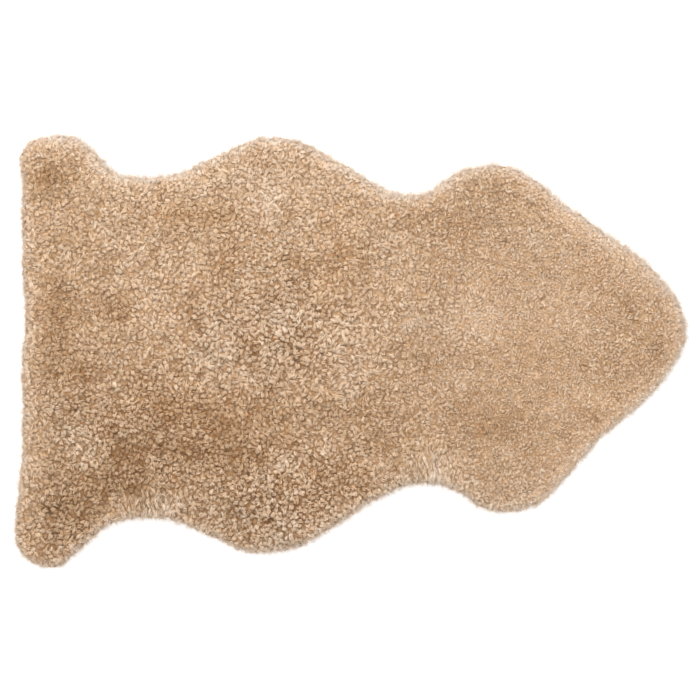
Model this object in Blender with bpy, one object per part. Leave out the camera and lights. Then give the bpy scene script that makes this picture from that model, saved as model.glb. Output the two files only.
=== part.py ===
"""Sheepskin rug: one tanned skin with its short curly wool on, lying flat, wool up.

Frame: metres, +Z up. +X runs from the tail cut to the neck tip, +Y across the skin.
The origin is under the middle of the skin, on the surface that it lies on.
The skin and its wool are one piece, so the part is one closed solid. Its outer form is the wool's:
the solid reaches as far as the tips of the pile do, and its underside is the flat flesh side.
"""

import math

import bmesh
import bpy
from mathutils import Vector
from mathutils.geometry import delaunay_2d_cdt

# Driving dimensions, in metres.
LENGTH = 0.950  # tail cut to neck tip, over the wool
WIDTH = 0.611  # across the widest pair of humps, over the wool
THICKNESS = 0.028  # flesh side to the tips of the pile
EDGE_STEP = 0.0145  # spacing of the sections along the outline
TOP_PITCH = 0.0210  # spacing of the points over the pile's top
SCALLOP = 0.0012  # how far locks of wool push the outline in and out
WOOL_RGB = (0.53, 0.35, 0.21)
WOOL_ROUGHNESS = 0.95

# The skin's outline over the wool, anticlockwise from the upper tail corner, in millimetres.
# A row for each turn of the cut edge: what it is, along the skin (x), across the skin (y).
OUTLINE = [
    # name,                  x_mm, y_mm
    ("upper tail corner", -466, 280),
    ("tail cut, upper end", -465, 240),
    ("tail cut, upper quarter", -465, 190),
    ("tail cut, upper middle", -464, 115),
    ("tail cut, step in", -460, 40),
    ("tail cut, middle", -465, 0),
    ("tail cut, lower middle", -464, -70),
    ("tail cut, lower quarter", -466, -160),
    ("tail cut, lower bulge", -473, -222),
    ("lower tail corner, side", -474, -266),
    ("lower tail corner", -464, -291),
    ("lower hind foot, end", -438, -305),
    ("lower hind foot", -409, -304),
    ("lower hind foot, inner side", -382, -281),
    ("lower hind foot, root", -353, -254),
    ("lower hind notch", -325, -241),
    ("lower hind notch, middle", -283, -237),
    ("lower flank, rise", -240, -245),
    ("lower flank, shoulder", -184, -269),
    ("lower belly hump, start", -152, -283),
    ("lower belly hump", -110, -286),
    ("lower belly, front", -70, -277),
    ("lower belly, fall", -15, -244),
    ("lower front, fall", 42, -208),
    ("lower front notch, start", 74, -193),
    ("lower front notch", 110, -188),
    ("lower front foot, root", 150, -198),
    ("lower front foot, side", 177, -219),
    ("lower front foot", 212, -228),
    ("lower front foot, end", 257, -222),
    ("lower front foot, corner", 282, -204),
    ("lower neck, root", 324, -157),
    ("lower neck, middle", 366, -113),
    ("lower neck, outer", 410, -77),
    ("neck tip, lower side", 450, -32),
    ("neck tip, lower turn", 468, 0),
    ("neck tip", 475, 28),
    ("neck tip, upper turn", 467, 65),
    ("upper neck, outer", 437, 106),
    ("upper neck, outer middle", 404, 138),
    ("upper neck, middle", 352, 174),
    ("upper neck, root", 296, 215),
    ("upper front foot, fall", 253, 249),
    ("upper front foot", 212, 264),
    ("upper front foot, rise", 160, 259),
    ("upper front foot, root", 126, 237),
    ("upper front notch", 94, 222),
    ("upper front notch, start", 60, 226),
    ("upper belly, front", 27, 243),
    ("upper belly, fall", -28, 275),
    ("upper belly hump, end", -71, 297),
    ("upper belly hump", -112, 305),
    ("upper belly, rise", -156, 293),
    ("upper flank, shoulder", -205, 270),
    ("upper flank, rise", -255, 250),
    ("upper hind notch", -310, 248),
    ("upper hind foot, root", -341, 259),
    ("upper hind foot, inner side", -363, 284),
    ("upper hind foot", -386, 303),
    ("upper hind foot, end", -430, 304),
    ("upper tail corner, top", -455, 298),
]

# The section through the wool's edge, from the flesh side up and in over the pile.
# A row for each ring of the surface: what it is, in from the outline, above the flesh side.
EDGE_SECTION = [
    # name,                 inset_mm, height_mm
    ("cut edge of the hide", 7.0, 0.0),
    ("edge of the hide, top", 5.0, 2.4),
    ("wool under the bulge", 1.8, 6.0),
    ("widest part of the wool", 0.0, 11.0),
    ("wool over the bulge", 1.6, 16.5),
    ("shoulder of the pile", 5.5, 21.5),
]
TOP_START = 24.4  # mm, height of the pile where its top begins, 11 mm in from the outline
TOP_INSET = 11.0  # mm
TOP_REACH = 34.0  # mm, in from the outline, where the pile reaches its full height

# Where the pile's top stands a little high or low. A row for each: centre, reach, rise.
UNEVEN = [
    # name,                       x_mm, y_mm, reach_mm, rise_mm
    ("crown of the back", -120, 20, 190, 1.2),
    ("hollow before the shoulder", 60, -60, 90, -1.4),
    ("parting on the back", -1, -18, 26, -1.6),
    ("flattened neck", 330, 40, 120, -1.2),
    ("lower belly, full", -140, -200, 80, 1.0),
    ("upper belly, full", -110, 210, 80, 0.8),
    ("tail, matted", -400, -60, 90, -1.0),
    ("lower notch, combed down", -290, -190, 50, -2.4),
    ("front notch, combed down", 110, -140, 50, -2.2),
]


def closed_curve(points, step):
    """A smooth closed curve through the points, as points about a step apart."""
    count = len(points)
    fine = []
    for i in range(count):
        p0, p1, p2, p3 = (points[(i + k) % count] for k in (-1, 0, 1, 2))
        t1 = (p1 - p0).length ** 0.5
        t2 = t1 + (p2 - p1).length ** 0.5
        t3 = t2 + (p3 - p2).length ** 0.5
        for s in range(24):
            t = t1 + (t2 - t1) * s / 24
            a1 = p0.lerp(p1, t / t1)
            a2 = p1.lerp(p2, (t - t1) / (t2 - t1))
            a3 = p2.lerp(p3, (t - t2) / (t3 - t2))
            b1 = a1.lerp(a2, t / t2)
            b2 = a2.lerp(a3, (t - t1) / (t3 - t1))
            fine.append(b1.lerp(b2, (t - t1) / (t2 - t1)))
    lengths = [(fine[(i + 1) % len(fine)] - p).length for i, p in enumerate(fine)]
    total = sum(lengths)
    wanted = round(total / step)
    out, i, walked = [], 0, 0.0
    for n in range(wanted):
        target = total * n / wanted
        while walked + lengths[i] < target:
            walked += lengths[i]
            i += 1
        share = (target - walked) / lengths[i]
        out.append(fine[i].lerp(fine[(i + 1) % len(fine)], share))
    return out


def outward(points):
    """The outward normal at each point of an anticlockwise closed curve."""
    count = len(points)
    normals = []
    for i in range(count):
        along = points[(i + 2) % count] - points[i - 2]
        normals.append(Vector((along.y, -along.x)).normalized())
    return normals


def to_size(points):
    """The curve scaled to LENGTH by WIDTH, with the middle of its box at the origin."""
    low = Vector((min(p.x for p in points), min(p.y for p in points)))
    high = Vector((max(p.x for p in points), max(p.y for p in points)))
    middle = (low + high) / 2
    span = high - low
    return [
        Vector(
            ((p.x - middle.x) * LENGTH / span.x, (p.y - middle.y) * WIDTH / span.y)
        )
        for p in points
    ]


def skin_outline():
    stations = [Vector((x, y)) / 1000 for _name, x, y in OUTLINE]
    curve = closed_curve(stations, EDGE_STEP)
    normals = outward(curve)
    count = len(curve)
    scalloped = []
    for i, (p, n) in enumerate(zip(curve, normals)):
        turn = 2 * math.pi * i / count
        push = 0.6 * math.sin(37 * turn + 0.8) + 0.4 * math.sin(61 * turn + 2.1)
        scalloped.append(p + n * (SCALLOP * push))
    return to_size(scalloped)


def edge_distance(point, curve):
    """How far a point is from the closed curve."""
    best = 9.0
    for i, a in enumerate(curve):
        b = curve[(i + 1) % len(curve)]
        ab = b - a
        share = max(0.0, min(1.0, (point - a).dot(ab) / ab.length_squared))
        best = min(best, (point - a - ab * share).length)
    return best


def inside(point, curve):
    odd = False
    for i, a in enumerate(curve):
        b = curve[(i + 1) % len(curve)]
        if (a.y > point.y) != (b.y > point.y):
            if point.x < (b.x - a.x) * (point.y - a.y) / (b.y - a.y) + a.x:
                odd = not odd
    return odd


def pile_height(point, distance):
    """Height of the pile's top, in metres, at a point this far in from the outline."""
    share = min(1.0, max(0.0, (distance * 1000 - TOP_INSET) / (TOP_REACH - TOP_INSET)))
    rise = 1 - (1 - share) ** 2
    full = THICKNESS * 1000 - 1.6
    height = TOP_START + (full - TOP_START) * rise
    x, y = point.x * 1000, point.y * 1000
    for _name, cx, cy, reach, swell in UNEVEN:
        off = ((x - cx) ** 2 + (y - cy) ** 2) / reach**2
        height += swell * math.exp(-off) * rise
    height += rise * (
        0.45 * math.sin(x / 17.0 + 0.9 * math.sin(y / 31.0))
        + 0.40 * math.sin(y / 15.0 + 1.1 * math.sin(x / 27.0) + 1.3)
    )
    return min(height / 1000, THICKNESS)


def sheepskin_mesh():
    outline = skin_outline()
    normals = outward(outline)
    bm = bmesh.new()
    rings = []
    for _name, inset, height in EDGE_SECTION:
        ring = [
            bm.verts.new((*(p - n * (inset / 1000)), height / 1000))
            for p, n in zip(outline, normals)
        ]
        rings.append(ring)
    rim = [p - n * (TOP_INSET / 1000) for p, n in zip(outline, normals)]
    rings.append(
        [bm.verts.new((*p, TOP_START / 1000)) for p in rim]
    )
    count = len(outline)
    for lower, upper in zip(rings, rings[1:]):
        for i in range(count):
            j = (i + 1) % count
            bm.faces.new((lower[i], lower[j], upper[j], upper[i]))

    # The flesh side is flat: one face within the cut edge of the hide.
    bm.faces.new(list(reversed(rings[0])))

    # The pile's top: evenly staggered points inside the rim, joined to it.
    inner, heights = [], []
    rows = int(WIDTH / (TOP_PITCH * 0.866)) + 2
    columns = int(LENGTH / TOP_PITCH) + 2
    for r in range(rows):
        for c in range(columns):
            point = Vector(
                (
                    -LENGTH / 2 + (c + 0.5 * (r % 2)) * TOP_PITCH,
                    -WIDTH / 2 + r * TOP_PITCH * 0.866,
                )
            )
            if not inside(point, rim) or edge_distance(point, rim) < 0.55 * TOP_PITCH:
                continue
            inner.append(point)
            heights.append(pile_height(point, edge_distance(point, outline)))
    flat = rim + inner
    edges = [(i, (i + 1) % count) for i in range(count)]
    _points, _edges, faces, origins, _oe, _of = delaunay_2d_cdt(flat, edges, [], 1, 1e-7)
    top = list(rings[-1]) + [
        bm.verts.new((p.x, p.y, h)) for p, h in zip(inner, heights)
    ]
    for face in faces:
        corners = [top[origins[v][0]] for v in face]
        bm.faces.new(corners)
    bmesh.ops.recalc_face_normals(bm, faces=bm.faces)
    bmesh.ops.triangulate(bm, faces=bm.faces[:])
    mesh = bpy.data.meshes.new("sheepskin")
    bm.to_mesh(mesh)
    bm.free()
    mesh.shade_smooth()
    mesh.set_sharp_from_angle(angle=math.radians(50))
    return mesh


def wool_material():
    material = bpy.data.materials.new("wool")
    material.use_nodes = True
    shader = material.node_tree.nodes["Principled BSDF"]
    shader.inputs["Base Color"].default_value = (*WOOL_RGB, 1.0)
    shader.inputs["Roughness"].default_value = WOOL_ROUGHNESS
    shader.inputs["Metallic"].default_value = 0.0
    return material


def main():
    for old in list(bpy.data.objects):
        bpy.data.objects.remove(old, do_unlink=True)
    mesh = sheepskin_mesh()
    mesh.materials.append(wool_material())
    skin = bpy.data.objects.new("sheepskin", mesh)
    bpy.context.scene.collection.objects.link(skin)


main()
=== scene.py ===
"""Looks of the sheepskin rug: the tanned hide, the body of the wool on it, the small curled tufts
of its shorn pile, and the loose fibres that stand out of them, all in the CAD part's frame in
metres.

The CAD solid is the outer form of the wool. Every tuft is placed on that surface and drawn in from
it, so the pile fills the space that the solid holds.
"""

import math

import bmesh
import bpy
import numpy as np
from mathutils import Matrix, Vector
from mathutils.geometry import delaunay_2d_cdt
from mathutils.kdtree import KDTree


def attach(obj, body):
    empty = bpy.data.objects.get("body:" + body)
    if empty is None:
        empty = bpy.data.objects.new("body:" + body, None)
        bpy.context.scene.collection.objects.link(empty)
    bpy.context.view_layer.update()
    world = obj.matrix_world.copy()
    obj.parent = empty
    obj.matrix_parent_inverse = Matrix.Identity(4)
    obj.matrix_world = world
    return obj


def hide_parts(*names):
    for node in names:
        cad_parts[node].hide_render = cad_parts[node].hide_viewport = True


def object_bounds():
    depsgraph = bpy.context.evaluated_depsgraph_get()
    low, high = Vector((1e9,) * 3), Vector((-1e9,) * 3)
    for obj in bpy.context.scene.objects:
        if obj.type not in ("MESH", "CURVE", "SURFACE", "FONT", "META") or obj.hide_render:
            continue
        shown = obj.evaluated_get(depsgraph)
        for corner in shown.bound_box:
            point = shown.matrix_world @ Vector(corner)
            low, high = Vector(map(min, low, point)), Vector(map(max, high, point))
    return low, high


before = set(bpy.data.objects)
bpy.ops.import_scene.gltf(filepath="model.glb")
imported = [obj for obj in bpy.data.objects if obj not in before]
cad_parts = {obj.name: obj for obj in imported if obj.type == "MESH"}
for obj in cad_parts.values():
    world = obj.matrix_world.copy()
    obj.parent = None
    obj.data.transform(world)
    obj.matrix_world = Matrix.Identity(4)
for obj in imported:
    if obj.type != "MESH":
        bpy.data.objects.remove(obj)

CAD_LOW, CAD_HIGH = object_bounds()
MM = 0.001

# ---------------------------------------------------------------- sizes, in millimetres

HIDE_THICK = 2.4  # tanned hide, without the wool
HIDE_INSET = 7.0  # the wool reaches this far past the hide's cut edge
STRANDS = 43000  # stout strands that fill the tufts
FINE_STRANDS = 46000  # fine strands laid over them
RIM_DROP = 1.0  # how much shorter the wool is round the rim
FLEECE_EDGE = 5.5  # the longest edge in the fleece's mesh
HIGHEST = 33.0  # where standing fibres begin to bend over
SEED = 11

# Size and style of the tufts over the skin. Each row is a soft patch over the rows above it: where
# it is, how far it reaches, the tufts' spacing, how much longer than wide they are, how high they
# dome, how unevenly they are shorn, how tightly they curl and how much their tones differ.
TUFTS = [
    # name,                 x, y, reach_x, reach_y, spacing, long, dome, uneven, curl, contrast
    ("whole skin", 0, 0, 9000, 9000, 5.4, 1.65, 1.45, 0.85, 0.9, 0.50),
    ("shoulder and neck", 270, 20, 200, 280, 3.2, 1.50, 0.75, 0.90, 0.7, 0.40),
    ("neck tip", 420, 30, 100, 130, 3.6, 1.50, 1.0, 1.0, 0.9, 0.45),
    ("middle of the back", -110, 30, 110, 90, 5.8, 1.45, 3.5, 1.6, 1.0, 0.64),
    ("lower belly", -90, -210, 140, 80, 5.6, 1.50, 4.3, 1.8, 1.1, 0.74),
    ("lower flank", -300, -120, 130, 90, 5.2, 1.55, 3.2, 1.6, 1.0, 0.70),
    ("lower hind foot", -420, -250, 70, 70, 6.2, 1.75, 3.2, 1.9, 1.0, 0.74),
    ("tail edge", -450, 0, 26, 320, 6.0, 1.80, 1.1, 0.7, 0.9, 0.50),
    ("upper hind foot", -420, 240, 70, 70, 5.4, 1.60, 1.0, 0.7, 0.9, 0.48),
]

# Which way the wool lies, where it isn't tumbled: where, how far, the way it points
# (degrees anticlockwise from the neck), how strongly.
LIE = [
    # name,                      x, y, reach_x, reach_y, points_to, strength
    ("lower hind notch, combed out", -280, -212, 46, 20, -88, 2.4),
    ("front notch, combed out", 115, -160, 40, 34, -86, 2.4),
    ("shoulder, laid down", 190, 70, 90, 70, -80, 0.8),
    ("back, laid to the belly", -80, 0, 160, 110, -55, 0.5),
    ("left of the parting", -14, -18, 14, 60, 178, 1.6),
    ("right of the parting", 14, -18, 14, 60, -4, 1.2),
    ("neck, laid to the tip", 380, 20, 90, 110, -20, 0.6),
    ("upper belly, laid up", -110, 230, 110, 50, 80, 0.5),
]

# Natural patches of tone in the wool. lighter is a percentage of the tone as seen, and warmer
# goes from greyer (below 0) to more reddish (above 0).
PATCHES = [
    # name,                        x, y, reach_x, reach_y, lighter, warmer
    ("lower left, dark", -255, -150, 190, 85, -4.6, 1.0),
    ("neck and shoulder, paler", 340, 20, 190, 240, 2.2, 0.0),
    ("lower belly, paler", -90, -200, 90, 70, 2.0, 0.0),
    ("upper hind foot, tan", -405, 245, 40, 35, -4.5, 0.0),
    ("tail, darker", -400, 0, 60, 200, -2.5, 0.0),
    ("upper tail corner", -430, 242, 26, 24, -9.0, 4.0),
    ("tail, brown band", -412, 60, 34, 50, -8.0, 4.0),
    ("tail, russet spot", -332, 57, 28, 20, -7.0, 5.0),
    ("tail, dark edge", -428, -22, 22, 38, -8.0, 1.0),
    ("tail, brown hollow", -374, -34, 28, 20, -7.0, 4.0),
    ("hip, brown spot", -303, -28, 20, 20, -6.0, 4.0),
    ("tail, grey streak", -392, -118, 20, 20, 6.0, -5.0),
    ("tail, grey streak's end", -364, -145, 20, 18, 7.0, -6.0),
    ("hip, paler spot", -340, -70, 18, 18, 3.0, -1.0),
    ("hind foot, dark root", -325, -180, 45, 32, -7.0, 0.0),
    ("flank, darkest spot", -312, -140, 26, 18, -9.0, 3.0),
    ("hind foot, dark", -392, -228, 56, 46, -10.0, -2.0),
    ("flank, russet band", -240, -84, 66, 28, -6.5, 6.0),
    ("flank, russet spot", -177, -106, 26, 20, -8.0, 6.0),
    ("flank, lower band", -226, -140, 50, 18, -9.0, 4.0),
    ("belly, brown spot", -149, -148, 32, 18, -8.0, 3.0),
    ("flank, pale fleck", -219, -112, 10, 10, 6.0, -3.0),
    ("belly, pale fleck", -92, -154, 20, 17, 8.0, -3.0),
    ("belly, brown", -113, -90, 50, 30, -6.0, 2.0),
    ("belly front, brown", -36, -168, 36, 28, -4.5, 3.0),
    ("belly front, dark", 28, -189, 26, 20, -7.0, 0.0),
    ("front notch, grey", 84, -175, 24, 14, -5.0, -4.0),
    ("front notch, pale tuft", 122, -168, 13, 26, 9.0, -6.0),
    ("front foot, grey", 211, -196, 56, 28, 0.5, -3.0),
    ("lower belly, grey", -99, -266, 24, 22, 0.5, -7.0),
    ("lower flank, grey", -170, -230, 42, 22, -3.5, -6.0),
    ("hind notch, grey", -272, -212, 48, 16, 1.5, -7.0),
    ("upper belly, pale", -113, 211, 42, 25, 9.0, -1.5),
    ("upper belly, pale edge", -156, 242, 28, 18, 3.0, -3.0),
    ("upper belly, dark fleck", -85, 192, 11, 10, -9.0, 1.0),
    ("upper flank, russet", -255, 192, 30, 20, -4.5, 5.0),
    ("upper back, brown", -184, 192, 48, 22, -5.5, 4.0),
    ("upper back, russet", -172, 128, 22, 28, -7.0, 5.0),
    ("upper hip, pale band", -234, 106, 34, 16, 4.5, 2.0),
    ("hip, pale", -276, 58, 26, 26, 4.5, 2.0),
    ("hip, pale left", -325, 93, 28, 15, 2.0, 1.0),
    ("back, grey spot", -212, 51, 26, 17, -4.0, -1.0),
    ("back, pale", -177, 30, 28, 18, 5.0, -3.0),
    ("back, palest", -98, 44, 32, 24, 7.0, -4.0),
    ("back, straw grey", -191, -6, 30, 20, 1.5, -7.0),
    ("back, grey", -128, -6, 30, 18, -2.0, -3.0),
    ("parting, pale head", -7, 30, 22, 28, 6.5, -1.0),
    ("parting, pale tuft", -1, -41, 14, 34, 5.5, -1.0),
    ("shoulder, straw", 85, 44, 36, 18, 3.0, -4.0),
    ("shoulder, pale", 183, 44, 52, 30, 5.0, 0.0),
    ("shoulder, pale tuft", 155, -38, 20, 16, 6.0, -2.0),
    ("shoulder, brown", 99, -13, 30, 18, -4.0, 1.0),
    ("upper shoulder, brown", 99, 192, 44, 22, -5.5, 1.0),
    ("upper shoulder, dark", 155, 171, 44, 24, -6.0, 1.0),
    ("upper front foot, brown", 198, 227, 44, 22, -5.0, -1.0),
    ("upper neck, straw", 254, 157, 30, 24, 1.5, -3.0),
    ("upper back, rust edge", -14, 157, 20, 36, -3.0, 5.0),
    ("upper back, brown band", -71, 128, 44, 15, -4.0, 2.0),
    ("withers, rust", -35, 93, 22, 28, -1.0, 6.0),
    ("withers, brown", 14, 121, 18, 22, -4.0, 1.0),
    ("upper neck, brown", 339, 114, 36, 16, -2.5, 2.0),
    ("neck, brown", 381, 65, 32, 20, -4.0, 0.0),
    ("neck tip, dark", 430, 2, 18, 24, -8.0, 0.0),
    ("neck, lower brown", 374, -20, 42, 20, -3.0, 1.0),
    ("neck, pale", 297, 58, 44, 22, 3.0, 1.0),
    ("neck, lower pale", 353, -69, 36, 18, 3.0, 3.0),
    ("shoulder, mid brown", 212, -13, 36, 22, -1.5, 0.0),
    ("lower shoulder, brown", 169, -97, 50, 28, -4.5, 1.0),
    ("lower neck, brown", 225, -97, 28, 22, -3.0, -1.0),
    ("lower neck, tan", 325, -90, 34, 20, -2.5, 2.0),
    ("chest, brown", 43, -84, 56, 18, -4.0, 2.0),
    ("chest, dark band", 43, -125, 42, 18, -5.5, 2.0),
    ("belly, grey brown", -29, -84, 28, 28, -4.5, -1.0),
]

# Creases where the pile parts to a dark line: from, to, how wide, how deep.
CREASES = [
    # name,            x0, y0, x1, y1, wide, deep
    ("parting", -1, 30, -2, -66, 3.0, 2.6),
    ("neck crease", 331, -81, 344, -92, 2.6, 4.0),
    ("neck crease, fork", 344, -92, 352, -104, 2.4, 3.6),
    ("neck crease, side", 338, -78, 359, -93, 2.0, 2.6),
    ("neck crease, small", 302, -119, 317, -131, 2.2, 2.8),
]


# ---------------------------------------------------------------- helpers


def hashed(ix, iy, seed):
    """A number from -1 to 1 for each lattice point."""
    n = (ix.astype(np.int64) * 73856093) ^ (iy.astype(np.int64) * 19349663)
    n = (n ^ (seed * 83492791)) & 0x7FFFFFFF
    n = ((n ^ (n >> 13)) * 1274126177) & 0x7FFFFFFF
    n = ((n ^ (n >> 15)) * 461845907) & 0x7FFFFFFF
    return ((n >> 7) & 0xFFFF) / 32767.5 - 1.0


def noise(x, y, cell, seed):
    """Smooth noise from -1 to 1 over the plan, with features about a cell wide."""
    gx, gy = x / cell, y / cell
    ix, iy = np.floor(gx), np.floor(gy)
    fx, fy = gx - ix, gy - iy
    fx, fy = fx * fx * (3 - 2 * fx), fy * fy * (3 - 2 * fy)
    low = hashed(ix, iy, seed) * (1 - fx) + hashed(ix + 1, iy, seed) * fx
    high = hashed(ix, iy + 1, seed) * (1 - fx) + hashed(ix + 1, iy + 1, seed) * fx
    return low * (1 - fy) + high * fy


def unit(v):
    return v / np.maximum(np.linalg.norm(v, axis=-1, keepdims=True), 1e-9)


def smoothstep(x, low, high):
    t = np.clip((x - low) / (high - low), 0, 1)
    return t * t * (3 - 2 * t)


def reach(row, x, y):
    """How much of a patch (x, y, reach_x, reach_y) there is at each place, from 0 to 1."""
    cx, cy, rx, ry = row
    return np.exp(-(((x - cx) / rx) ** 2) - ((y - cy) / ry) ** 2)


def tuft_style(x, y):
    """Spacing, length, dome, unevenness, curl and contrast of the tufts at each place."""
    style = [np.full(x.shape, float(v)) for v in TUFTS[0][5:]]
    for _name, cx, cy, rx, ry, *values in TUFTS[1:]:
        share = reach((cx, cy, rx, ry), x, y)
        style = [s + (v - s) * share for s, v in zip(style, values)]
    return style


# ---------------------------------------------------------------- the CAD solid's surface


def outer_surface():
    """Points, triangles, corner normals and the cut edge's ring of the CAD solid, in millimetres."""
    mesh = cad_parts["sheepskin"].data
    mesh.calc_loop_triangles()
    co = np.zeros(len(mesh.vertices) * 3)
    mesh.vertices.foreach_get("co", co)
    co = co.reshape(-1, 3) * 1000
    tri = np.zeros(len(mesh.loop_triangles) * 3, np.int64)
    mesh.loop_triangles.foreach_get("vertices", tri)
    tri = tri.reshape(-1, 3)
    keys, back = np.unique(np.round(co, 3), axis=0, return_inverse=True)
    tri = back.reshape(-1)[tri]
    cross = np.cross(
        keys[tri[:, 1]] - keys[tri[:, 0]], keys[tri[:, 2]] - keys[tri[:, 0]]
    )
    under = (cross[:, 2] < 0) & (keys[tri][:, :, 2].max(1) < 0.05)
    edges = {}
    for a, b, c in tri[under].tolist():
        for p, q in ((a, b), (b, c), (c, a)):
            if (q, p) in edges:
                del edges[(q, p)]
            else:
                edges[(p, q)] = True
    following = {p: q for p, q in edges}
    start = min(following)
    ring, at = [start], following[start]
    while at != start:
        ring.append(at)
        at = following[at]
    ring = keys[ring][:, :2]
    x, y = ring[:, 0], ring[:, 1]
    turn = (x * np.roll(y, -1) - np.roll(x, -1) * y).sum() / 2
    if turn < 0:
        ring = ring[::-1]
    tri, cross = tri[~under], cross[~under]
    normals = np.zeros_like(keys)
    for k in range(3):
        np.add.at(normals, tri[:, k], cross)
    normals = unit(normals)
    for _ in range(2):  # softened, so neighbouring tufts stand alike
        total = np.zeros_like(normals)
        for k in range(3):
            for j in range(3):
                np.add.at(total, tri[:, k], normals[tri[:, j]])
        normals = unit(total)
    return keys, tri, normals, ring, np.linalg.norm(cross, axis=1) / 2, abs(turn)


POINTS, TRIS, NORMALS, RING, AREAS, RING_AREA = outer_surface()


def from_ring(xy):
    """Distance in from the hide's cut edge and the way out, for each plan point."""
    best = np.full(len(xy), 1e9)
    out = np.zeros_like(xy)
    a, b = RING, np.roll(RING, -1, axis=0)
    ab = b - a
    length2 = (ab**2).sum(1)
    side = np.stack([ab[:, 1], -ab[:, 0]], 1) / np.sqrt(length2)[:, None]
    for i in range(len(a)):
        rel = xy - a[i]
        t = np.clip(rel @ ab[i] / length2[i], 0, 1)
        off = rel - t[:, None] * ab[i]
        d = np.sqrt((off**2).sum(1))
        nearer = d < best
        inward = -(rel @ side[i])
        best = np.where(nearer, d, best)
        out[nearer] = side[i]
        if i == 0:
            signed = inward
        signed = np.where(nearer, inward, signed)
    return np.where(signed < 0, -best, best), unit(out)


def scatter(rng, count):
    """Random points on the outer surface with their normals, evenly by area."""
    chosen = rng.choice(len(TRIS), size=count, p=AREAS / AREAS.sum())
    a, b = rng.random(count), rng.random(count)
    flip = a + b > 1
    a, b = np.where(flip, 1 - a, a), np.where(flip, 1 - b, b)
    w = np.stack([1 - a - b, a, b], 1)[:, :, None]
    at = (POINTS[TRIS[chosen]] * w).sum(1)
    return at, unit((NORMALS[TRIS[chosen]] * w).sum(1))


def spaced(points, spacing):
    """Indices of points kept in turn, none nearer to another than its spacing."""
    cell = float(spacing.max())
    grid, kept = {}, []
    keys = np.floor(points / cell).astype(int).tolist()
    for i, (p, s, key) in enumerate(zip(points.tolist(), spacing.tolist(), keys)):
        px, py, pz = p
        kx, ky, kz = key
        near = s * s
        clear = True
        for cx in (kx - 1, kx, kx + 1):
            for cy in (ky - 1, ky, ky + 1):
                for cz in (kz - 1, kz, kz + 1):
                    for qx, qy, qz in grid.get((cx, cy, cz), ()):
                        if (px - qx) ** 2 + (py - qy) ** 2 + (pz - qz) ** 2 < near:
                            clear = False
                            break
                    if not clear:
                        break
                if not clear:
                    break
            if not clear:
                break
        if clear:
            grid.setdefault((kx, ky, kz), []).append((px, py, pz))
            kept.append(i)
    return np.array(kept)


# ---------------------------------------------------------------- tones

TONES, HUES = 16, 16  # the palette's columns and rows


def tone_and_hue(x, y, rng, contrast):
    """Each tuft's palette column and row, from the patches, the painted light and shade round the
    rim and its own chance.
    """
    lighter = np.zeros_like(x)
    warmer = np.zeros_like(x)
    for _name, cx, cy, rx, ry, light, warm in PATCHES:
        share = reach((cx, cy, rx, ry), x, y)
        lighter += 1.12 * light * share
        warmer += 1.1 * warm * share
    rim, out = from_ring(np.stack([x, y], 1))
    inward = np.maximum(rim + HIDE_INSET, 0)
    # Painted light and shade round the rim: wool within about 30 mm of the edge is painted paler,
    # most on the +y side that faces the key lamp and on the +x side, for light caught on the rim's
    # slope and shining through its fringe. A ring a few mm in is painted greyer, most on the -y
    # side, as painted shade, and the very edge is warmed again.
    lighter += (9.0 + 3.0 * out[:, 0] + 4.0 * out[:, 1]) * np.exp(-inward / 17.0)
    lighter += (13.0 + 4.0 * out[:, 0] + 4.0 * out[:, 1]) * np.exp(-((inward / 11.0) ** 2))
    warmer -= (3.6 + 2.2 * np.maximum(-out[:, 1], 0)) * np.exp(-(((inward - 5.0) / 7.0) ** 2))
    warmer += 3.0 * np.exp(-((inward / 2.5) ** 2))
    lighter += 1.6 * noise(x, y, 38, 3) + 1.6 * noise(x, y, 17, 4)
    warmer += 1.6 * noise(x, y, 31, 5) + 1.2 * noise(x, y, 12, 6)
    lighter += contrast * 4.5 * (2.0 - rng.gamma(4.0, 0.5, len(x)))
    warmer += 2.2 * rng.standard_normal(len(x))
    factor = np.clip(1 + lighter / 100, 0.3, 1.6) ** 2.2
    column = 8 + np.log(factor) / math.log(1.09)
    row = 8 + warmer * 0.8
    column = np.clip(np.round(column + rng.uniform(-0.5, 0.5, len(x))), 0, TONES - 1)
    row = np.clip(np.round(row + rng.uniform(-0.5, 0.5, len(x))), 0, HUES - 1)
    return column, row


# ---------------------------------------------------------------- strands as tubes


def mesh_object(name, verts, loops, starts, uvs, material):
    """An object from its vertices in millimetres, its faces' corners and their palette places."""
    mesh = bpy.data.meshes.new(name)
    mesh.vertices.add(len(verts))
    mesh.vertices.foreach_set("co", (verts * MM).ravel())
    mesh.loops.add(len(loops))
    mesh.loops.foreach_set("vertex_index", loops)
    mesh.polygons.add(len(starts))
    mesh.polygons.foreach_set("loop_start", starts)
    mesh.update(calc_edges=True)
    for title in ("OFBake", "Wool"):
        layer = mesh.uv_layers.new(name=title, do_init=False)
        layer.uv.foreach_set("vector", uvs.astype(np.float32).ravel())
    mesh.shade_smooth()
    mesh.materials.append(material)
    mesh.validate()
    made = bpy.data.objects.new(name, mesh)
    bpy.context.scene.collection.objects.link(made)
    return made


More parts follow.
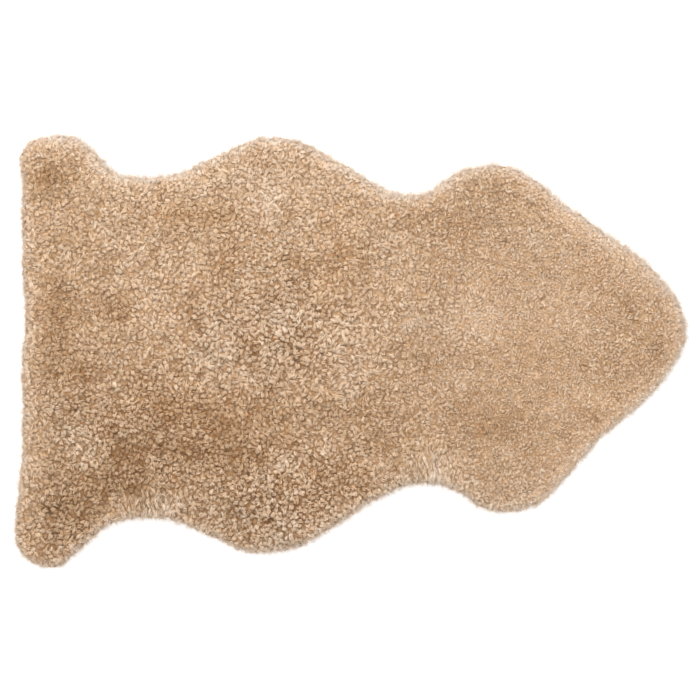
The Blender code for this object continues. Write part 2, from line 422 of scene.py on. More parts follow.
def tubes(name, paths, radii, sides, column, row, twist, material, span=(0.02, 0.98)):
    """One mesh of closed tapered tubes. paths is (n, rings + 2, 3): both ends are points.

    span is the part of the palette tile, root to tip, that each tube's length takes."""
    n, stops, _ = paths.shape
    rings = stops - 2
    along = unit(paths[:, 2:] - paths[:, :-2])
    reference = unit(np.cross(paths[:, -1] - paths[:, 0], paths[:, rings] - paths[:, 0]))
    reference = np.repeat(reference[:, None], rings, 1)
    across = unit(reference - (reference * along).sum(-1, keepdims=True) * along)
    up = np.cross(along, across)
    angle = 2 * np.pi * (np.arange(sides) + twist[:, None, None]) / sides
    c, s = np.cos(angle)[..., None], np.sin(angle)[..., None]
    around = across[:, :, None] * c + up[:, :, None] * s
    skins = paths[:, 1:-1, None] + around * radii[:, :, None, None]
    per = rings * sides + 2
    verts = np.concatenate(
        [paths[:, :1], skins.reshape(n, rings * sides, 3), paths[:, -1:]], 1
    )
    verts[..., 2] = np.maximum(verts[..., 2], 0.25)
    loops, starts, uvs, first = [], [], [], 0
    reachv = np.linspace(*span, stops)

    def corner(vertex, u, v):
        loops.append(vertex)
        uvs.append((u, v))

    for k in range(sides):
        j = (k + 1) % sides
        u0, u1 = k / sides, (k + 1) / sides
        starts.append(len(loops))
        corner(0, (u0 + u1) / 2, reachv[0])
        corner(1 + j, u1, reachv[1])
        corner(1 + k, u0, reachv[1])
        for r in range(rings - 1):
            starts.append(len(loops))
            corner(1 + r * sides + k, u0, reachv[r + 1])
            corner(1 + r * sides + j, u1, reachv[r + 1])
            corner(1 + (r + 1) * sides + j, u1, reachv[r + 2])
            corner(1 + (r + 1) * sides + k, u0, reachv[r + 2])
        starts.append(len(loops))
        corner(1 + (rings - 1) * sides + k, u0, reachv[rings])
        corner(1 + (rings - 1) * sides + j, u1, reachv[rings])
        corner(per - 1, (u0 + u1) / 2, reachv[stops - 1])
    loops, starts = np.array(loops), np.array(starts)
    uvs = np.array(uvs)
    uvs[:, 0] = 0.04 + 0.92 * uvs[:, 0]
    uvs[:, 1] = 0.03 + 0.94 * uvs[:, 1]
    all_loops = (loops[None] + per * np.arange(n)[:, None]).ravel()
    all_starts = (starts[None] + len(loops) * np.arange(n)[:, None]).ravel()
    all_uvs = np.empty((n, len(loops), 2), np.float32)
    all_uvs[..., 0] = (column[:, None] + uvs[None, :, 0]) / TONES
    all_uvs[..., 1] = (row[:, None] + uvs[None, :, 1]) / HUES
    return mesh_object(
        name, verts.reshape(-1, 3), all_loops, all_starts, all_uvs.reshape(-1, 2), material
    )


def lie_of(x, y, rng, distance, out):
    """The way each tuft lies in plan, as a unit vector, and how strongly it is combed."""
    turn = math.pi * (noise(x, y, 24, 21) + 0.8 * noise(x, y, 11, 22)) * 1.6
    drift = np.stack([np.cos(turn), np.sin(turn)], 1)
    chance = unit(rng.standard_normal((len(x), 2)))
    lean = 0.85 * drift + 0.45 * chance
    lean[:, 1] -= 0.15
    combed = np.zeros_like(x)
    for _name, cx, cy, rx, ry, way, strength in LIE:
        share = reach((cx, cy, rx, ry), x, y)
        angle = math.radians(way)
        lean += (strength * share)[:, None] * np.array(
            [math.cos(angle), math.sin(angle)]
        )
        combed = np.maximum(combed, share * strength / 2.4)
    edge = 1 - smoothstep(distance, -4.0, 16.0)
    lean += (1.3 * edge)[:, None] * out
    return unit(lean), combed


def crease_depth(x, y):
    """How far the tips are drawn down in and beside the creases."""
    deep = np.zeros_like(x)
    for _name, x0, y0, x1, y1, wide, depth in CREASES:
        dx, dy = x1 - x0, y1 - y0
        t = np.clip(((x - x0) * dx + (y - y0) * dy) / (dx * dx + dy * dy), 0, 1)
        off2 = (x - x0 - t * dx) ** 2 + (y - y0 - t * dy) ** 2
        deep = np.maximum(deep, depth * np.exp(-off2 / wide**2))
    return deep


class Tufts:
    """Small domed tufts of wool, spaced over the outer surface. Each one leans its own way."""

    def __init__(self):
        rng = np.random.default_rng(SEED)
        at, normal = scatter(rng, 300000)
        spacing = tuft_style(at[:, 0], at[:, 1])[0]
        spacing = spacing * (0.80 + 0.40 * rng.random(len(at)))
        kept = spaced(at, spacing)
        at, normal, spacing = at[kept], normal[kept], spacing[kept]
        n = len(at)
        x, y = at[:, 0], at[:, 1]
        _s, long, dome, uneven, curl, contrast = tuft_style(x, y)
        distance, out = from_ring(at[:, :2])
        lean2, combed = lie_of(x, y, rng, distance, out)
        lean = np.concatenate([lean2, np.zeros((n, 1))], 1)
        self.normal = unit(normal + np.array([0, 0, 0.10]))
        self.along = unit(lean - (lean * self.normal).sum(1, keepdims=True) * self.normal)
        self.side = np.cross(self.normal, self.along)
        self.at, self.spacing, self.combed, self.n = at, spacing, combed, n
        long = long * rng.uniform(0.8, 1.3, n) * (1 + 0.8 * combed)
        size = 0.82 * spacing
        self.half_long = size * np.sqrt(long)
        self.half_wide = size / np.sqrt(long)
        self.dome = dome * rng.uniform(0.8, 1.2, n)
        parted = np.exp(-((noise(x, y, 17, 51) / 0.10) ** 2)) * (noise(x, y, 40, 52) > -0.2)
        self.drop = (rng.gamma(0.6, 1.4, n) + 1.6 * parted) * uneven + crease_depth(x, y)
        self.edge = 1 - smoothstep(distance, -7.0, 5.0)
        self.edge_drop = RIM_DROP * self.edge * (1.25 + 0.45 * out[:, 0] - 0.6 * out[:, 1])
        self.edge_drop += 1.3 * self.edge * noise(x, y, 13, 61)
        self.drop += self.edge_drop
        hand = np.where(rng.random(n) < 0.5, -1.0, 1.0)
        self.curl = rng.uniform(0.3, 3.0, n) * curl * hand * (1 - 0.8 * combed)
        self.column, self.row = tone_and_hue(x, y, rng, contrast)
        self.tree = KDTree(n)
        for i, place in enumerate(at):
            self.tree.insert(place, i)
        self.tree.balance()

    def nearest(self, points, count=6):
        """Indices of the nearest tufts to each point."""
        find = self.tree.find_n
        return np.array([[hit[1] for hit in find(p, count)] for p in points])

    def local(self, points, own):
        """Each point's place in its tuft: along it, across it, as shares of its half sizes."""
        rel = points - self.at[own]
        return (
            (rel * self.along[own]).sum(-1) / self.half_long[own],
            (rel * self.side[own]).sum(-1) / self.half_wide[own],
        )

    def height(self, own, t, w):
        """How far the tuft's dome lies above the CAD surface there, mostly below 0."""
        return -self.drop[own] - self.dome[own] * (t * t + w * w) ** 2.5

    def highest(self, points):
        """The tuft that stands highest at each point of the surface, and how high."""
        near = self.nearest(points)
        t, w = self.local(points[:, None], near)
        level = self.height(near, t, w)
        best = level.argmax(1)
        row = np.arange(len(points))
        return near[row, best], level[row, best]


def refine(points, triangles, longest):
    """Halves every edge longer than longest, again and again, and keeps neighbours joined.
    points may carry more columns than their three coordinates."""
    while True:
        pairs = np.sort(triangles[:, [[0, 1], [1, 2], [2, 0]]].reshape(-1, 2), axis=1)
        edges, which = np.unique(pairs, axis=0, return_inverse=True)
        ends = points[edges]
        split = np.linalg.norm(ends[:, 0, :3] - ends[:, 1, :3], axis=1) > longest
        if not split.any():
            return points, triangles
        made = np.full(len(edges), -1)
        made[split] = len(points) + np.arange(split.sum())
        points = np.concatenate([points, ends[split].mean(1)])
        middles = made[which.reshape(-1, 3)]
        count = (middles >= 0).sum(1)
        parts = [triangles[count == 0]]
        for turn in range(3):
            t, m = np.roll(triangles, -turn, 1), np.roll(middles, -turn, 1)
            one = (count == 1) & (m[:, 0] >= 0)
            (a, b, c), p = t[one].T, m[one, 0]
            parts += [np.stack(v, 1) for v in ((a, p, c), (p, b, c))]
            two = (count == 2) & (m[:, 2] < 0)
            (a, b, c), p, q = t[two].T, m[two, 0], m[two, 1]
            parts += [np.stack(v, 1) for v in ((p, b, q), (a, p, q), (a, q, c))]
        three = count == 3
        (a, b, c), (p, q, r) = triangles[three].T, middles[three].T
        parts += [np.stack(v, 1) for v in ((a, p, r), (p, b, q), (r, q, c), (p, q, r))]
        triangles = np.concatenate(parts)


def make_fleece(tufts, material):
    """The pile's body: the CAD surface, finely divided and drawn in between the tufts' domes.
    Its base is flat and lies on the hide."""
    both, tri = refine(np.concatenate([POINTS, NORMALS], 1), TRIS, FLEECE_EDGE)
    points, normals = both[:, :3], unit(both[:, 3:])
    used, tri = np.unique(tri, return_inverse=True)
    tri = tri.reshape(-1, 3)
    points, normals = points[used], normals[used]
    near = tufts.nearest(points, 4)
    low = smoothstep(points[:, 2], 1.0, 9.0)
    depth = (tufts.drop[near] + 0.6 * tufts.dome[near]).mean(1) + 0.9
    depth = np.clip(depth, 0.0, 7.5) * low + 0.9 * (1 - low)
    verts = points - normals * depth[:, None]
    rim = points[:, 2] < 0.05
    _d, out = from_ring(points[rim, :2])
    verts[rim, :2] = points[rim, :2] - 0.9 * out
    verts[:, 2] = np.where(rim, HIDE_THICK - 0.1, np.maximum(verts[:, 2], HIDE_THICK + 0.1))

    # The base's corners, in order round the rim.
    pairs = tri[:, [[0, 1], [1, 2], [2, 0]]].reshape(-1, 2)
    ring_edges = pairs[rim[pairs].all(1)]
    following = dict(ring_edges[:, ::-1].tolist())
    at = start = min(following)
    base = [start]
    while following[at] != start:
        at = following[at]
        base.append(at)

    centre = points[tri].mean(1)
    own, _level = tufts.highest(centre)
    t, w = tufts.local(points[tri], own[:, None])
    # Painted shade: the fleece is darker where it lies between the tufts' domes (low v on the ramp
    # at each strand's end), by more tones under higher domes, and browner there, for the shade in
    # the pile's hollows.
    rise = 1 - np.clip(t * t + w * w, 0, 1.25) / 1.25
    u = 0.5 + 0.44 * np.clip(w, -1, 1)
    v = 0.22 + 0.42 * rise
    darker = np.round(0.2 + 1.6 * tufts.dome[own])
    tile_u = (np.clip(tufts.column[own] - darker, 0, TONES - 1)[:, None] + u) / TONES
    warmer = np.minimum(tufts.row[own] + np.round(0.9 * tufts.dome[own]), HUES - 1)
    tile_v = (warmer[:, None] + v) / HUES
    base_xy = verts[base][:, :2]
    span = np.ptp(base_xy, axis=0)
    base_uv = (base_xy - base_xy.min(0)) / span * np.array([0.8, 0.03]) + np.array([0.1, 0.03])
    base_uv = (base_uv + np.array([4.0, 8.0])) / np.array([TONES, HUES])

    loops = np.concatenate([tri.ravel(), base])
    starts = np.concatenate([np.arange(0, len(tri) * 3, 3), [len(tri) * 3]])
    uvs = np.concatenate([np.stack([tile_u, tile_v], -1).reshape(-1, 2), base_uv])
    print("FLEECE", len(tri), "triangles", len(verts), "vertices, base", len(base))
    return mesh_object("fleece", verts, loops, starts, uvs, material)


def lay_strands(tufts, material, name, total, seed, fine):
    """Strands in small bundles that run side by side along each tuft, over its dome, and down
    between it and the next one. The bundles of a tuft bend round the same way. Fine strands are
    short, lie over the stout ones, and stray more."""
    rng = np.random.default_rng(seed)
    share = tufts.half_long * tufts.half_wide
    wanted = share / share.sum() * total
    count = np.maximum(np.floor(wanted + rng.random(tufts.n)).astype(int), 0 if fine else 1)
    own = np.repeat(np.arange(tufts.n), count)
    n = len(own)
    rank = np.arange(n) - np.repeat(np.cumsum(count) - count, count)
    half_long, half_wide = tufts.half_long[own], tufts.half_wide[own]
    combed, edge = tufts.combed[own], tufts.edge[own]
    bundles = np.ceil(count / 2).astype(int)  # two strands each
    bundle = (np.cumsum(bundles) - bundles)[own] + rank // 2
    m = int(bundles.sum())
    b_ahead, b_tone = rng.uniform(-0.25, 0.25, m), 0.5 * (1.0 - rng.gamma(2.0, 0.5, m))
    b_lift, b_long = rng.uniform(-0.50, 0.20, m), rng.uniform(0.80, 1.20, m)
    b_bend, b_hue = rng.normal(0, 0.30, m), rng.normal(0, 0.6, m)
    if fine:
        across = rng.uniform(-0.95, 0.95, n) * half_wide
        ahead = rng.uniform(-0.55, 0.55, n) * half_long
        long = 1.25 * half_long * rng.uniform(0.7, 1.3, n) * (1 + 0.5 * combed)
        turn = rng.normal(0, 0.45, n)
        shares = np.array([0.0, 0.5, 1.0])
    else:
        across = ((rank + 0.5) / count[own] * 2 - 1) * 0.85 * half_wide + rng.normal(0, 0.18, n)
        ahead = b_ahead[bundle] * half_long + rng.normal(0, 0.35, n)
        long = 1.80 * half_long * b_long[bundle] * rng.uniform(0.9, 1.1, n) * (1 + 0.5 * combed)
        turn = rng.normal(0, 0.12, n)
        shares = np.array([0.0, 0.30, 0.68, 1.0])
    bend = (tufts.curl[own] + b_bend[bundle]) * (0.7 if fine else 1.0) + rng.normal(0, 0.15, n)

    # A strand is an arc in its tuft's plane, laid over the dome, with both ends drawn in. The
    # ones on the outside of the bend are longer.
    long *= np.clip(1 - across * bend / long, 0.55, 1.6)
    heading = turn[:, None] + bend[:, None] * ((shares[1:] + shares[:-1]) / 2 - 0.5)
    step = long[:, None] * np.diff(shares)
    t = np.concatenate([np.zeros((n, 1)), np.cumsum(np.cos(heading) * step, 1)], 1)
    w = np.concatenate([np.zeros((n, 1)), np.cumsum(np.sin(heading) * step, 1)], 1)
    t += (ahead - t[:, 1:-1].mean(1))[:, None]
    w += (across - w[:, 1:-1].mean(1))[:, None]
    ts, ws = t / half_long[:, None], w / half_wide[:, None]
    steep = np.maximum(np.hypot(ts, ws) / 1.15, 1.0)
    level = tufts.height(own[:, None], ts / steep, ws / steep)
    lift = (tufts.spacing[own] / 4.9) * b_lift[bundle] + rng.uniform(-0.25, 0.20, n)
    if fine:
        lift += rng.uniform(0.45, 1.15, n)
        level[:, 0] -= 0.8
        level[:, -1] -= rng.uniform(0.1, 0.9, n)
    else:
        level[:, 0] -= 0.4
        level[:, -1] -= rng.uniform(0.0, 0.6, n) * (1 - combed)
    level += lift[:, None]
    level += (edge * rng.uniform(0.0, 3.5, n))[:, None] * shares**1.4
    level = np.maximum(level, -6.5)
    path = (
        tufts.at[own][:, None]
        + tufts.along[own][:, None] * t[..., None]
        + tufts.side[own][:, None] * w[..., None]
        + tufts.normal[own][:, None] * level[..., None]
    )
    path += rng.normal(0, 0.08, path.shape)
    if fine:
        wide = rng.uniform(0.38, 0.64, n)
        tapers = np.array([1.0])
    else:
        wide = rng.uniform(0.95, 1.22, n) * (tufts.spacing[own] / 4.9) ** 0.15
        wide *= (1 - 0.25 * combed) * (1 - 0.40 * edge)
        tapers = np.array([1.0, 0.92])
    radii = wide[:, None] * tapers * rng.uniform(0.9, 1.1, (n, len(tapers)))
    # Painted shade: strands of tufts that sit lower, and of the creases, are painted darker and
    # browner the deeper they sit, for the shade in the hollows.
    painted_shade = 0.6 * (tufts.drop[own] - tufts.edge_drop[own] - 0.8)
    darker = rng.gamma(0.5, 3.8, n) - 1.0 if fine else rng.gamma(0.6, 1.6, n) - 0.7
    column = tufts.column[own] + b_tone[bundle] - darker - painted_shade
    row = tufts.row[own] + b_hue[bundle] + rng.normal(0, 0.6, n) + 0.8 * painted_shade + 0.6 * darker
    column = np.clip(np.round(column), 0, TONES - 1)
    row = np.clip(np.round(row), 0, HUES - 1)
    each = 6 if fine else 12
    groups = math.ceil(n * each / 190000)
    print("STRANDS", name, n, "triangles", n * each, "tufts", tufts.n)
    return [
        tubes(
            f"{name}_{g + 1}",
            path[chosen],
            radii[chosen],
            3,
            column[chosen],
            row[chosen],
            rng.random(len(chosen)),
            material,
        )
        for g, chosen in enumerate(np.array_split(rng.permutation(n), groups))
    ]


def make_fibres(material, count, name, seed, edge_only):
    """Loose fine fibres that stand out of the tufts, round the edge or all over the top."""
    rng = np.random.default_rng(seed)
    at, normal = scatter(rng, count * 12)
    distance, out = from_ring(at[:, :2])
    if edge_only:
        keep = np.flatnonzero((distance < 5.0) & (normal[:, 2] > -0.75))
    else:
        keep = np.flatnonzero(distance > -2.0)
    keep = keep[:count]
    at, normal, distance, out = at[keep], normal[keep], distance[keep], out[keep]
    n = len(at)
    x, y = at[:, 0], at[:, 1]
    lean2, combed = lie_of(x, y, rng, distance, out)
    lean = np.concatenate([lean2, np.zeros((n, 1))], 1)
    along = unit(lean - (lean * normal).sum(1, keepdims=True) * normal)
    side = np.cross(normal, along)
    if edge_only:
        long = np.minimum(rng.gamma(2.2, 2.1, n) + 1.8, 14.0) * (1 + 0.35 * out[:, 1])
        stand = rng.uniform(0.55, 1.0, n)
        width = rng.uniform(0.12, 0.25, n)
        sink = 3.4
    else:
        long = rng.gamma(3.0, 0.9, n) + 2.5
        stand = rng.uniform(0.10, 0.45, n)
        width = rng.uniform(0.20, 0.42, n)
        sink = 1.6
    bend = np.clip(rng.normal(0, 0.45, n), -1, 1) * long
    go = unit(
        normal * stand[:, None]
        + along * (rng.uniform(0.2, 1.0, n) * (1.2 - stand * 0.6))[:, None]
        + rng.normal(0, 0.22, (n, 3))
    )
    steps = np.array([0.0, 0.52, 1.0])
    bow = np.array([0.0, 0.20, 1.0])
    path = (
        (at - normal * sink)[:, None]
        + go[:, None] * (steps[None] * (long + sink)[:, None])[..., None]
        + side[:, None] * (bow[None] * bend[:, None])[..., None]
    )
    path[..., 2] -= bow[None] * (0.12 * long)[:, None]
    over = np.maximum(path[..., 2] - HIGHEST, 0)
    path[..., 2] -= over - 3.0 * np.tanh(over / 3.0)
    radii = width[:, None]
    column, row = tone_and_hue(x, y, rng, np.full(n, 1.0))
    # Painted light: the fibres round the edge are painted two tones paler, for light shining through
    # the thin fringe.
    column = np.clip(column + (2 if edge_only else 0), 0, TONES - 1)
    return tubes(name, path, radii, 3, column, row, rng.random(n), material, (0.30, 0.76))


# ---------------------------------------------------------------- hide


def inset_ring(amount):
    """The hide's ring drawn in by some millimetres."""
    before, after = np.roll(RING, 2, axis=0), np.roll(RING, -2, axis=0)
    along = after - before
    out = unit(np.stack([along[:, 1], -along[:, 0]], 1))
    return RING - out * amount


def inner_points(ring, pitch, clear):
    rows = int((CAD_HIGH.y - CAD_LOW.y) * 1000 / (pitch * 0.866)) + 2
    columns = int((CAD_HIGH.x - CAD_LOW.x) * 1000 / pitch) + 2
    r, c = np.meshgrid(np.arange(rows), np.arange(columns), indexing="ij")
    x = CAD_LOW.x * 1000 + (c + 0.5 * (r % 2)) * pitch
    y = CAD_LOW.y * 1000 + r * pitch * 0.866
    xy = np.stack([x.ravel(), y.ravel()], 1)
    distance, _out = from_ring(xy)
    return xy[distance > clear], distance[distance > clear]


def cushion(name, section, top, pitch, material):
    """A closed body on the hide's outline: rings up its section, a flat base and a domed top.
    section is rows of (inset, height), and top gives the heights at plan points and distances."""
    bm = bmesh.new()
    rings = [
        [bm.verts.new((*p, height)) for p in inset_ring(inset)]
        for inset, height in section
    ]
    count = len(RING)
    for low, high in zip(rings, rings[1:]):
        for i in range(count):
            j = (i + 1) % count
            bm.faces.new((low[i], low[j], high[j], high[i]))

    def cover(ring, heights, inset):
        rim = inset_ring(inset)
        xy, distance = inner_points(ring, pitch, inset + 0.6 * pitch)
        flat = [Vector(p) for p in np.concatenate([rim, xy])]
        edges = [(i, (i + 1) % count) for i in range(count)]
        _v, _e, faces, origins, _a, _b = delaunay_2d_cdt(flat, edges, [], 1, 1e-6)
        verts = list(ring) + [
            bm.verts.new((*p, h)) for p, h in zip(xy, heights(xy, distance))
        ]
        for face in faces:
            bm.faces.new([verts[origins[v][0]] for v in face])

    cover(rings[-1], top, section[-1][0])
    base = section[0]
    cover(rings[0], lambda xy, d: np.full(len(xy), base[1]), base[0])
    bmesh.ops.recalc_face_normals(bm, faces=bm.faces)
    for v in bm.verts:
        v.co *= MM
    mesh = bpy.data.meshes.new(name)
    bm.to_mesh(mesh)
    bm.free()
    mesh.shade_smooth()
    mesh.materials.append(material)
    made = bpy.data.objects.new(name, mesh)
    bpy.context.scene.collection.objects.link(made)
    return made


def make_hide(material):
    def top(xy, distance):
        return HIDE_THICK + 0.25 * noise(xy[:, 0], xy[:, 1], 60, 41)

    section = [(0.4, 0.3), (0.0, 0.8), (0.0, HIDE_THICK - 0.5), (0.5, HIDE_THICK)]
    made = cushion("hide", section, top, 16.0, material)
    made.data.set_sharp_from_angle(angle=math.radians(60))
    return made


# ---------------------------------------------------------------- materials


class Nodes:
    """Short names for adding and joining nodes of one material."""

    def __init__(self, name):
        self.material = bpy.data.materials.new(name)
        self.material.use_nodes = True
        self.tree = self.material.node_tree
        self.shader = self.tree.nodes["Principled BSDF"]

    def add(self, kind, inputs=(), **settings):
        node = self.tree.nodes.new(kind)
        for key, value in settings.items():
            setattr(node, key, value)
        for key, value in dict(inputs).items():
            self.put(node.inputs[key], value)
        return node

    def put(self, socket, value):
        if isinstance(value, bpy.types.NodeSocket):
            self.tree.links.new(value, socket)
        else:
            socket.default_value = value

    def maths(self, operation, a, b=0.0, c=0.0, clamp=False):
        node = self.add("ShaderNodeMath", {0: a, 1: b, 2: c}, operation=operation)
        node.use_clamp = clamp
        return node.outputs[0]

    def vector(self, operation, a, b=(0, 0, 0), scale=1.0):
        node = self.add("ShaderNodeVectorMath", {0: a}, operation=operation)
        if operation == "SCALE":
            self.put(node.inputs["Scale"], scale)
        elif operation not in ("FLOOR", "FRACTION"):
            self.put(node.inputs[1], b)
        return node.outputs["Vector"]

    def combine(self, x, y, z=0.0):
        return self.add("ShaderNodeCombineXYZ", {0: x, 1: y, 2: z}).outputs[0]

    def separate(self, vector):
        return self.add("ShaderNodeSeparateXYZ", {0: vector}).outputs

    def noise(self, vector, scale, detail=2.0, roughness=0.5, distortion=0.0):
        return self.add(
            "ShaderNodeTexNoise",
            {
                "Vector": vector,
                "Scale": scale,
                "Detail": detail,
                "Roughness": roughness,
                "Distortion": distortion,
            },
        ).outputs[0]

    def spread(self, value, low, high, out_low, out_high):
        node = self.add(
            "ShaderNodeMapRange",
            {
                "Value": value,
                "From Min": low,
                "From Max": high,
                "To Min": out_low,
                "To Max": out_high,
            },
        )
        return node.outputs[0]

    def mix(self, share, a, b):
        node = self.add("ShaderNodeMix", data_type="RGBA")
        self.put(node.inputs["Factor"], share)
        self.put(node.inputs[6], a)
        self.put(node.inputs[7], b)
        return node.outputs[2]

    def ramp(self, value, stops):
        node = self.add("ShaderNodeValToRGB", {"Fac": value})
        ramp = node.color_ramp
        while len(ramp.elements) > 1:
            ramp.elements.remove(ramp.elements[-1])
        for i, (place, level) in enumerate(stops):
            stop = ramp.elements[0] if i == 0 else ramp.elements.new(place)
            stop.position = place
            stop.color = (level, level, level, 1)
        return node.outputs[0]

    def tint_ramp(self, value, colour):
        """A wool colour from dark to pale; its dark end carries darker wool and also the painted
        shade at the strands' ends and in the fleece between tufts. value is half its level, and
        darker wool is
        browner: green and blue fall faster than red."""
        node = self.add("ShaderNodeValToRGB", {"Fac": value})
        ramp = node.color_ramp
        while len(ramp.elements) > 1:
            ramp.elements.remove(ramp.elements[-1])
        for i in range(8):
            place = 0.08 + 0.115 * i
            stop = ramp.elements[0] if i == 0 else ramp.elements.new(place)
            stop.position = place
            powers = (1.0, 1.38, 1.90) if place < 0.5 else (1.0, 1.25, 1.60)
            shades = [c * (2 * place) ** k for c, k in zip(colour, powers)]
            cap = min(1.0, 0.90 / max(shades))
            stop.color = (*(s * cap for s in shades), 1)
        return node.outputs[0]

    def finish(self, colour, roughness, sheen, sheen_roughness, tint, shine):
        s = self.shader.inputs
        self.put(s["Base Color"], colour)
        s["Roughness"].default_value = roughness
        s["Sheen Weight"].default_value = sheen
        s["Sheen Roughness"].default_value = sheen_roughness
        s["Sheen Tint"].default_value = tint
        s["Specular IOR Level"].default_value = shine
        return self.material


WOOL_COOL = (0.763, 0.595, 0.437)
WOOL_WARM = (0.814, 0.569, 0.364)


def wool_material():
    """Fibres run along each strand. The palette's column is its tone and the row its hue."""
    m = Nodes("wool")
    uv = m.add("ShaderNodeUVMap", uv_map="Wool").outputs[0]
    cells = m.vector("MULTIPLY", uv, (TONES, HUES, 0))
    cell = m.vector("FLOOR", cells)
    inside = m.vector("FRACTION", cells)
    column, row, _ = m.separate(cell)
    u, v, _ = m.separate(inside)
    own = m.maths("ADD", m.maths("MULTIPLY", column, 3.71), m.maths("MULTIPLY", row, 9.13))
    wave = m.maths("SINE", m.maths("ADD", m.maths("MULTIPLY", v, 17.0), own))
    u2 = m.maths("ADD", m.maths("MULTIPLY", u, 8.0), m.maths("MULTIPLY", wave, 0.35))
    fibre = m.noise(m.combine(u2, m.maths("MULTIPLY", v, 2.2), own), 1.0, 4.0, 0.66)
    strand = m.noise(
        m.combine(m.maths("MULTIPLY", u, 4.0), m.maths("MULTIPLY", v, 2.2), own), 1.0, 1.0
    )
    # Painted light and shade of the wool's crimp: short bands along each strand, painted lighter and
    # darker.
    painted_crimp_shade = m.noise(
        m.combine(m.maths("MULTIPLY", u, 2.0), m.maths("MULTIPLY", v, 7.0), own), 1.0, 2.0, 0.6
    )
    painted_crimp_shade = m.spread(painted_crimp_shade, 0.30, 0.70, 0.84, 1.12)
    tone = m.maths("POWER", 1.09, m.maths("SUBTRACT", column, 8.0))
    # Painted shade: each strand, and the fleece between tufts, is painted darker towards both ends,
    # where it dips into the pile between the tufts.
    root = m.ramp(v, [(0.0, 0.36), (0.18, 0.72), (0.38, 1.0), (0.70, 1.05), (1.0, 0.66)])
    streak = m.spread(fibre, 0.30, 0.70, 0.72, 1.24)
    lump = m.spread(strand, 0.30, 0.70, 0.92, 1.06)
    level = m.maths("MULTIPLY", m.maths("MULTIPLY", tone, root), m.maths("MULTIPLY", streak, lump))
    level = m.maths("MULTIPLY", level, painted_crimp_shade)
    level = m.maths("MULTIPLY", level, 0.5)
    cool, warm = m.tint_ramp(level, WOOL_COOL), m.tint_ramp(level, WOOL_WARM)
    colour = m.mix(m.spread(row, 0.0, 15.0, 0.0, 1.0), cool, warm)
    height = m.maths("ADD", fibre, m.maths("MULTIPLY", strand, 0.6))
    bump = m.add("ShaderNodeBump", {"Strength": 0.5, "Distance": 0.0008, "Height": height})
    m.put(m.shader.inputs["Normal"], bump.outputs[0])
    return m.finish(colour, 0.88, 0.12, 0.55, (1.0, 0.93, 0.84, 1), 0.18)


def hide_material():
    """Tanned flesh side: napped suede with broad pale and tan areas and a few fine veins."""
    m = Nodes("hide")
    at = m.add("ShaderNodeTexCoord").outputs["Object"]
    nap = m.noise(at, 900.0, 3.0, 0.6)
    cloud = m.noise(at, 9.0, 4.0, 0.55, 0.3)
    vein = m.noise(m.vector("MULTIPLY", at, (1.0, 2.6, 1.0)), 22.0, 3.0, 0.6, 1.2)
    vein = m.maths("ABSOLUTE", m.maths("SUBTRACT", vein, 0.5))
    vein = m.spread(vein, 0.0, 0.035, 0.90, 1.0)
    colour = m.mix(
        m.spread(cloud, 0.35, 0.65, 0.0, 1.0),
        (0.560, 0.430, 0.300, 1),
        (0.720, 0.600, 0.455, 1),
    )
    level = m.maths("MULTIPLY", m.spread(nap, 0.3, 0.7, 0.86, 1.1), vein)
    colour = m.vector("SCALE", colour, scale=level)
    height = m.maths("ADD", nap, m.maths("MULTIPLY", cloud, 1.5))
    bump = m.add("ShaderNodeBump", {"Strength": 0.5, "Distance": 0.0005, "Height": height})
    m.put(m.shader.inputs["Normal"], bump.outputs[0])
    return m.finish(colour, 0.85, 0.25, 0.45, (1.0, 0.95, 0.88, 1), 0.25)


def floor_material():
    m = Nodes("studio_floor")
    at = m.add("ShaderNodeTexCoord").outputs["Object"]
    grain = m.noise(at, 30.0, 2.0, 0.5)
    colour = m.mix(grain, (0.90, 0.90, 0.90, 1), (0.92, 0.92, 0.92, 1))
    m.shader.inputs["Emission Color"].default_value = (1, 1, 1, 1)
    m.shader.inputs["Emission Strength"].default_value = 0.3
    return m.finish(colour, 0.9, 0.0, 0.5, (1, 1, 1, 1), 0.2)


# ---------------------------------------------------------------- stage, light and camera


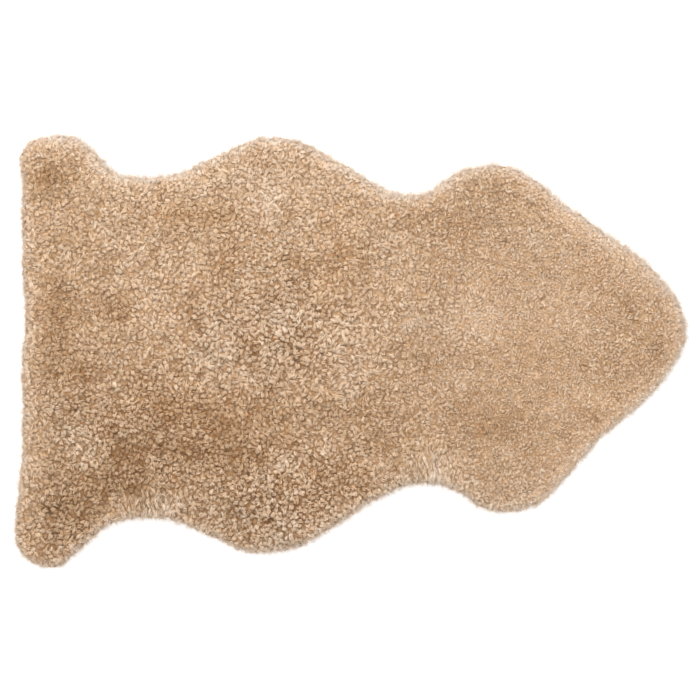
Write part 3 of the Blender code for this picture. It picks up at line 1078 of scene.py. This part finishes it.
def add_area(name, place, aim, size, power, colour):
    data = bpy.data.lights.new(name, "AREA")
    data.shape = "RECTANGLE"
    data.size, data.size_y = size
    data.energy = power
    data.color = colour
    lamp = bpy.data.objects.new(name, data)
    lamp.location = place
    lamp.rotation_euler = (Vector(aim) - Vector(place)).to_track_quat("-Z", "Y").to_euler()
    lamp.visible_camera = False
    bpy.context.scene.collection.objects.link(lamp)
    return lamp


def make_stage():
    mesh = bpy.data.meshes.new("floor")
    mesh.from_pydata(
        [(-40, -40, 0), (40, -40, 0), (40, 40, 0), (-40, 40, 0)], [], [(0, 1, 2, 3)]
    )
    mesh.materials.append(floor_material())
    floor = bpy.data.objects.new("floor", mesh)
    bpy.context.scene.collection.objects.link(floor)
    world = bpy.data.worlds.new("studio")
    bpy.context.scene.world = world
    world.use_nodes = True
    tree = world.node_tree
    back = tree.nodes["Background"]
    back.inputs["Color"].default_value = (1.0, 1.0, 1.0, 1)
    back.inputs["Strength"].default_value = 1.0
    add_area("key", (-0.45, 2.10, 1.9), (0, 0, 0), (1.7, 1.2), 42.0, (1.0, 0.985, 0.96))
    add_area("fill", (0.9, -1.9, 2.6), (0, 0, 0), (2.2, 1.6), 8.0, (0.97, 0.985, 1.0))
    view = bpy.context.scene.view_settings
    view.view_transform = "Standard"
    view.look = "None"
    view.exposure = 0.0
    view.gamma = 1.0


def make_camera():
    data = bpy.data.cameras.new("camera")
    data.lens = 85.0
    data.sensor_width = 36.0
    data.clip_start, data.clip_end = 0.05, 100
    camera = bpy.data.objects.new("camera", data)
    camera.location = (-0.0014, 0.0028, 2.348)
    camera.rotation_euler = (0, 0, 0)
    bpy.context.scene.collection.objects.link(camera)
    bpy.context.scene.camera = camera


# ---------------------------------------------------------------- the rug


def main():
    make_camera()
    make_stage()
    wool = wool_material()
    hide = make_hide(hide_material())
    tufts = Tufts()
    fleece = make_fleece(tufts, wool)
    strands = lay_strands(tufts, wool, "pile_strands", STRANDS, SEED + 1, False)
    strands += lay_strands(tufts, wool, "fine_strands", FINE_STRANDS, SEED + 2, True)
    fringe = make_fibres(wool, 16000, "edge_fibres", 31, True)
    flyaway = make_fibres(wool, 2500, "loose_fibres", 32, False)
    pile = [fleece, *strands, fringe, flyaway]
    for piece in [hide, *pile]:
        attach(piece, "root")
        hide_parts("sheepskin")


main()
